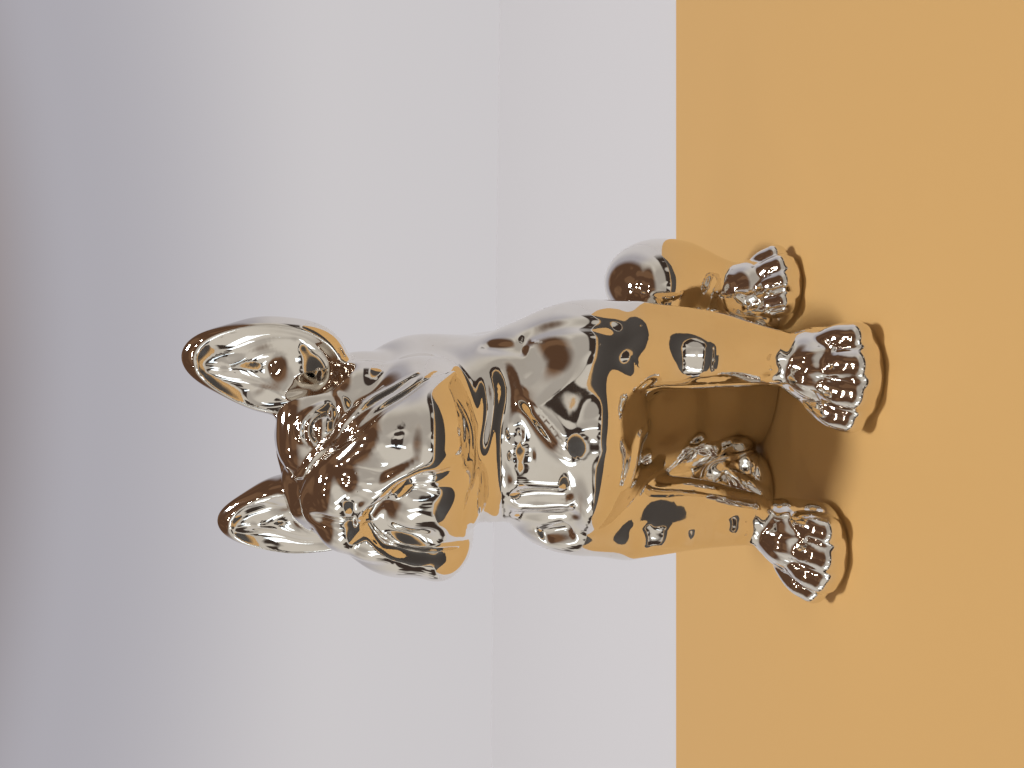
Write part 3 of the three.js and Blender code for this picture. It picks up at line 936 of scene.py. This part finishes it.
def platedSilver(name):
    material = bpy.data.materials.new(name)
    material.use_nodes = True
    desk = NodeDesk(material)
    place = desk.add("ShaderNodeTexCoord").other("Object")
    hollow = desk.add("ShaderNodeAttribute", {"attribute_name": "hollow"}).other("Fac")
    smear = desk.ease(desk.noise(place, plating["smearScale"], 4, 0.6), *plating["smearFrom"])
    streak = desk.noise(place, plating["streakScale"], 3, 0.55)
    streak = desk.ease(streak, *plating["streakFrom"])
    fold = desk.ease(hollow, *plating["foldFrom"])
    speck = desk.add("ShaderNodeTexVoronoi", {"feature": "F1"},
                     {"Vector": place, "Scale": plating["speckScale"]})
    sparse = desk.noise(place, plating["sparseScale"], 0)
    speck = desk.ease(speck, *plating["speckFrom"]) * desk.ease(sparse, *plating["sparseFrom"])
    used = smear * plating["smearColour"] + streak * plating["streakColour"]
    dull = fold * plating["foldColour"] + speck * plating["speckColour"]
    colour = desk.blend(used, plating["bright"], plating["worn"])
    colour = desk.blend(dull, colour, plating["tarnish"])
    roughness = (plating["roughness"] + smear * plating["smearRough"]
                 + fold * plating["foldRough"] + speck * plating["speckRough"])
    wave = desk.noise(place, plating["waveScale"], 2, 0.45) * plating["waveHeight"]
    peel = desk.noise(place, plating["peelScale"], 2, 0.5) * plating["peelHeight"]
    height = wave + peel - speck * plating["speckDepth"]
    bump = desk.add("ShaderNodeBump", None, {"Height": height, "Distance": 1.0, "Strength": 1.0})
    shader = desk.add("ShaderNodeBsdfPrincipled", None,
                      {"Base Color": colour, "Metallic": 1.0, "Roughness": roughness,
                       "Normal": bump})
    desk.add("ShaderNodeOutputMaterial", None, {"Surface": shader})
    return material


silver = platedSilver("platedSilver")
print("silver made")

castings = [
    ("trunk_casting", body, lambda owner, x: owner == 0),
    ("head_casting", headNet, lambda owner, x: owner == 0),
    ("left_ear", headNet, lambda owner, x: owner == 1),
    ("right_ear", headNet, lambda owner, x: owner == 2),
    ("left_foreleg", body, lambda owner, x: (owner == 1) & (x > 0)),
    ("right_foreleg", body, lambda owner, x: (owner == 1) & (x < 0)),
    ("left_haunch", body, lambda owner, x: (owner == 2) & (x > 0)),
    ("right_haunch", body, lambda owner, x: (owner == 2) & (x < 0)),
    ("left_hind_paw", body, lambda owner, x: (owner == 3) & (x > 0)),
    ("right_hind_paw", body, lambda owner, x: (owner == 3) & (x < 0)),
]
for name, net, picked in castings:
    middle = net[0][net[1]].mean(1)[:, 0]
    casting(name, net, picked(net[2], middle))
print("castings made")

# The room: pale walls, a dark warm ceiling and low furniture in front. Each pair of numbers
# is where a part of it begins and where it is full, along the dog, by height or in a noise.
room = {
    "wallFront": (0.62, 0.58, 0.52, 1),
    "wallBack": (0.60, 0.575, 0.585, 1),
    "wallHigh": (0.41, 0.395, 0.43, 1),
    "backFrom": (-0.2, 0.5),
    "highFrom": (0.15, 0.45),
    "wallShade": (0.34, 0.31, 0.28, 1),
    "shadeScale": 1.7,
    "shadeFrom": (0.40, 0.62),
    "shadeAlong": (0.1, -0.4),
    "shadeShare": 0.75,
    "ceiling": (0.10, 0.052, 0.030, 1),
    "ceilingWarm": (0.20, 0.11, 0.06, 1),
    "ceilingFrom": (0.44, 0.62),
    "patchScale": 2.6,
    "patchFrom": (0.48, 0.62),
    "patchShare": 0.7,
    "furniture": (0.045, 0.032, 0.026, 1),
    "standScale": 3.4,
    "standFrom": (0.46, 0.52),
    "standAlong": (0.45, 0.15),
    "standTop": (0.16, 0.12),
    "standFoot": (-0.03, 0.0),
}


def paintRoom():
    world = bpy.data.worlds.new("studio")
    bpy.context.scene.world = world
    world.use_nodes = True
    desk = NodeDesk(world)
    way = desk.add("ShaderNodeTexCoord").other("Generated")
    parts = desk.add("ShaderNodeSeparateXYZ", None, {0: way})
    along, up = parts.other("Y"), parts.other("Z")
    seen = desk.add("ShaderNodeLightPath").other("Is Camera Ray")
    behind = desk.blend(desk.ease(up, *room["highFrom"]), room["wallBack"], room["wallHigh"])
    wall = desk.blend(desk.ease(along, *room["backFrom"]), room["wallFront"], behind)
    shade = desk.ease(desk.noise(way, room["shadeScale"], 1), *room["shadeFrom"])
    shade = shade * desk.ease(along, *room["shadeAlong"])
    wall = desk.blend(shade * room["shadeShare"], wall, room["wallShade"])
    patches = desk.ease(desk.noise(way, room["patchScale"], 1), *room["patchFrom"])
    ceiling = desk.blend(patches * room["patchShare"], room["ceiling"], room["ceilingWarm"])
    colour = desk.blend(desk.ease(up, *room["ceilingFrom"]), wall, ceiling)
    front = desk.ease(along, *room["standAlong"]) * (1 - seen)
    low = desk.ease(up, *room["standTop"]) * desk.ease(up, *room["standFoot"])
    stands = desk.ease(desk.noise(way, room["standScale"], 1), *room["standFrom"])
    colour = desk.blend(front * low * stands, colour, room["furniture"])
    light = desk.add("ShaderNodeBackground", None, {"Color": colour, "Strength": 1.0})
    desk.add("ShaderNodeOutputWorld", None, {"Surface": light})


paintRoom()
print("room painted")


# Two windows in front, a paler one further round, and small lamps under the ceiling, in
# metres; the last numbers of a pane are its width and height, and its power
windows = {
    "aimedAt": (0, 0, 0.1),
    "colour": (0.78, 0.90, 1.0),
    "panes": [((-1.45, -1.05, 0.50), (0.22, 0.50), 0.6),
              ((-1.12, -1.4, 0.50), (0.22, 0.50), 0.6),
              ((-0.1, -1.9, 0.45), (0.14, 0.34), 0.25)],
    "spots": [(-0.5, -0.75, 1.25), (-0.2, -0.8, 1.25), (0.1, -0.8, 1.25), (0.4, -0.75, 1.25),
              (0.25, -0.2, 1.35)],
    "spotSize": (0.06, 0.06),
    "spotPower": 0.35,
    "spotColour": (1.0, 0.93, 0.84),
    "sunPower": 2.2,
    "sunSize": 9.0,              # degrees, as its turn
    "sunTurn": (9, 5, 0),
}


def lamp(name, at, size, power, colour, shape="RECTANGLE"):
    light = bpy.data.lights.new(name, "AREA")
    light.shape = shape
    light.size, light.size_y = size
    light.energy = power
    light.color = colour
    holder = bpy.data.objects.new(name, light)
    holder.location = at
    holder.rotation_mode = "QUATERNION"
    aim = Vector(windows["aimedAt"]) - Vector(at)
    holder.rotation_quaternion = aim.to_track_quat("-Z", "Z")
    bpy.context.scene.collection.objects.link(holder)


for number, (at, size, power) in enumerate(windows["panes"]):
    lamp("window%d" % number, at, size, power, windows["colour"])
for number, at in enumerate(windows["spots"]):
    lamp("spot%d" % number, at, windows["spotSize"], windows["spotPower"], windows["spotColour"],
         shape="DISK")

sun = bpy.data.lights.new("sun", "SUN")
sun.energy = windows["sunPower"]
sun.angle = math.radians(windows["sunSize"])
sunHolder = bpy.data.objects.new("sun", sun)
sunHolder.rotation_euler = [math.radians(angle) for angle in windows["sunTurn"]]
bpy.context.scene.collection.objects.link(sunHolder)

print("lamps hung")

# The camera lies on its side, as in the photograph
camera = {
    "at": (0.09528, -0.26362, 0.12452),
    "round": 18.0,       # degrees to the dog's left of straight ahead
    "down": 3.3575,
    "lens": 26.37,
    "film": 36,
    "clip": 0.01,
}

# The shelf: warm near the dog and greyer past its back edge. In what the silver mirrors, and not
# to the camera, the shelf is painted near-black in front of its front edge: a painted dark
# reflection of the shaded room below.
shelf = {
    "warm": (0.64, 0.39, 0.14, 1),
    "grey": (0.66, 0.665, 0.695, 1),
    # painted dark reflection: the near-black that the silver mirrors in front of the shelf's
    # front edge, standing in for the shaded room below
    "beyond": (0.020, 0.015, 0.012, 1),
    "backEdge": 0.163,           # metres from the dog's middle, along the camera's way
    "backSoft": 0.001,
    "frontEdge": -0.20,
    "frontSoft": 0.004,
    "farSide": (-1.4, -0.8),     # far in front, past the dark, the floor is mirrored again
    "half": 3.0,
    "roughness": 0.7,
}


def layShelf():
    half = shelf["half"]
    mesh = bpy.data.meshes.new("shelf")
    mesh.from_pydata([(-half, -half, 0), (half, -half, 0), (half, half, 0), (-half, half, 0)],
                     [], [(0, 1, 2, 3)])
    floor = bpy.data.objects.new("shelf", mesh)
    bpy.context.scene.collection.objects.link(floor)
    material = bpy.data.materials.new("paleShelf")
    material.use_nodes = True
    desk = NodeDesk(material)
    place = desk.add("ShaderNodeTexCoord").other("Object")
    turned = math.radians(camera["round"])
    depth = desk.add("ShaderNodeVectorMath", {"operation": "DOT_PRODUCT"},
                     {0: place, 1: (-math.sin(turned), math.cos(turned), 0)}).other("Value")
    back, front = shelf["backEdge"], shelf["frontEdge"]
    behind = desk.ease(depth, back - shelf["backSoft"], back + shelf["backSoft"])
    colour = desk.blend(behind, shelf["warm"], shelf["grey"])
    seen = desk.add("ShaderNodeLightPath").other("Is Camera Ray")
    # painted dark reflection: near-black from the front edge out to the far side, for every ray
    # but the camera's
    past = desk.ease(depth, front, front - shelf["frontSoft"])
    past = past * desk.ease(depth, *shelf["farSide"]) * (1 - seen)
    colour = desk.blend(past, colour, shelf["beyond"])
    shader = desk.add("ShaderNodeBsdfPrincipled", None,
                      {"Base Color": colour, "Roughness": shelf["roughness"]})
    desk.add("ShaderNodeOutputMaterial", None, {"Surface": shader})
    mesh.materials.append(material)


layShelf()


def standCamera():
    turned, down = math.radians(camera["round"]), math.radians(camera["down"])
    level = math.cos(down)
    forward = Vector((-math.sin(turned) * level, math.cos(turned) * level, -math.sin(down)))
    right = Vector((math.cos(turned), math.sin(turned), 0))
    up = right.cross(forward)
    data = bpy.data.cameras.new("camera")
    data.sensor_fit = "HORIZONTAL"
    data.sensor_width = camera["film"]
    data.lens = camera["lens"]
    data.clip_start = camera["clip"]
    holder = bpy.data.objects.new("camera", data)
    columns = Matrix((-up, right, -forward)).transposed()
    holder.matrix_world = Matrix.Translation(camera["at"]) @ columns.to_4x4()
    bpy.context.scene.collection.objects.link(holder)
    bpy.context.scene.camera = holder


standCamera()
print("shelf laid, camera stood")
bpy.context.scene.view_settings.view_transform = "Standard"
